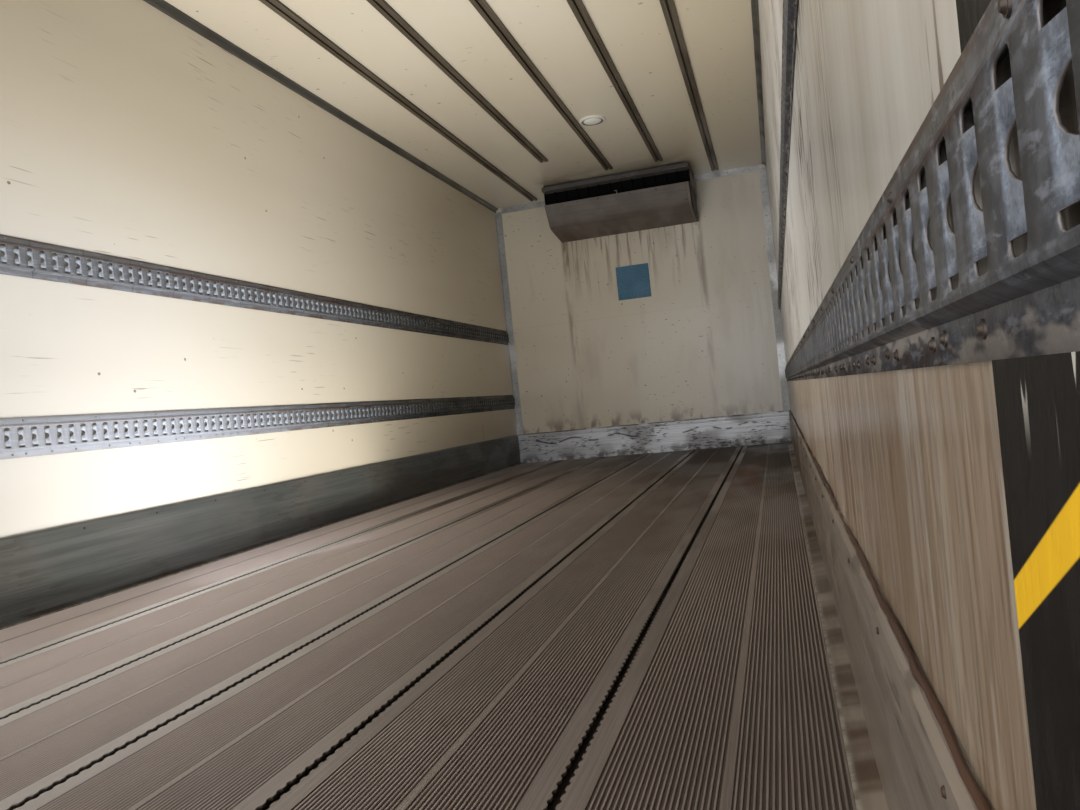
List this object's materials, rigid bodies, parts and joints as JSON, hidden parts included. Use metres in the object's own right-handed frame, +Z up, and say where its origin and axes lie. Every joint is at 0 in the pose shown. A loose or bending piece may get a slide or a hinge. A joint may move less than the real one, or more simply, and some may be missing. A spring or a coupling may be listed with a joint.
{
  "type": "insulated refrigerated truck body",
  "caption": "Refrigerated box body of a truck with ribbed aluminium floor, cargo rails, evaporator, nose unit and two rear doors folded open.",
  "frame": {"origin": "middle of the overall box at the underside of the long bearers", "axes": "+Y forwards to the driver's cab, +X to the right, +Z up"},
  "size_m": [2.9, 8.18, 2.803],
  "materials": {
    "lining": "glossy cream gelcoat with streaks",
    "floor_core": "dull sandwich panel",
    "floor_metal": "worn ribbed aluminium",
    "kick_metal": "scuffed aluminium",
    "rail_metal": "galvanised steel with rust",
    "trim_metal": "satin aluminium",
    "dark_metal": "dull dark aluminium",
    "lamp_lens": "milky lens",
    "evaporator_metal": "dull grey sheet",
    "outlet_black": "black",
    "wear_black": "black with yellow stripes",
    "frame_metal": "brushed stainless steel",
    "rubber": "black rubber",
    "holder_metal": "black paint",
    "door_skin": "white gelcoat",
    "gear_metal": "zinc plated steel",
    "unit_paint": "white paint",
    "fan_black": "black plastic",
    "guard_metal": "black paint",
    "amber_lens": "amber lens",
    "white_lens": "clear lens",
    "red_lens": "red lens",
    "subframe_paint": "dark grey paint"
  },
  "bodies": {
    "load_body": {"floor_panel": "floor_core", "floor_planks": "floor_metal", "floor_tracks": "floor_metal", "side_wall_left": "lining", "side_wall_right": "lining", "front_wall": "lining", "roof_panel": "lining", "kick_plate_left": "kick_metal", "kick_plate_right": "kick_metal", "kick_plate_front": "kick_metal", "cargo_rail_lower_left": "rail_metal", "cargo_rail_lower_right": "rail_metal", "cargo_rail_upper_left": "rail_metal", "cargo_rail_upper_right": "rail_metal", "front_corner_trims": "trim_metal", "front_top_trim": "trim_metal", "ceiling_covings": "dark_metal", "ceiling_rails": "dark_metal", "ceiling_lamp": "lamp_lens", "evaporator_housing": "evaporator_metal", "evaporator_grille": "outlet_black", "wear_linings": "wear_black", "rear_posts": "frame_metal", "rear_header": "frame_metal", "rear_sill": "frame_metal", "buffers": "rubber", "hinge_lugs": "gear_metal", "door_holders": "holder_metal", "roof_edges": "trim_metal", "base_profiles": "trim_metal", "nose_corners": "trim_metal", "unit_housing": "unit_paint", "fan_guards": "guard_metal", "side_lamps": "amber_lens", "front_lamps": "white_lens", "rear_lamps": "red_lens", "bearers": "subframe_paint", "cross_members": "subframe_paint", "mounting_brackets": "subframe_paint"},
    "door_left": {"door_left": "door_skin", "door_seal_left": "rubber", "hinge_straps_left": "gear_metal", "lock_gear_left": "gear_metal"},
    "door_right": {"door_right": "door_skin", "door_seal_right": "rubber", "hinge_straps_right": "gear_metal", "lock_gear_right": "gear_metal"},
    "fan_left": {"fan_left": "fan_black"},
    "fan_right": {"fan_right": "fan_black"}
  },
  "joints": [
    {"name": "door_left_hinge", "type": "hinge", "parent": "load_body", "child": "door_left", "pos_m": [-1.33, -4.044, 1.5], "axis": [0, 0, -1], "range_deg": [-270, 0]},
    {"name": "door_right_hinge", "type": "hinge", "parent": "load_body", "child": "door_right", "pos_m": [1.33, -4.044, 1.5], "axis": [0, 0, 1], "range_deg": [-270, 0]},
    {"name": "fan_left_spin", "type": "hinge", "parent": "load_body", "child": "fan_left", "pos_m": [-0.47, 4.0303, 2.392], "axis": [0, 1, 0], "continuous": true},
    {"name": "fan_right_spin", "type": "hinge", "parent": "load_body", "child": "fan_right", "pos_m": [0.47, 4.0303, 2.392], "axis": [0, 1, 0], "continuous": true}
  ]
}
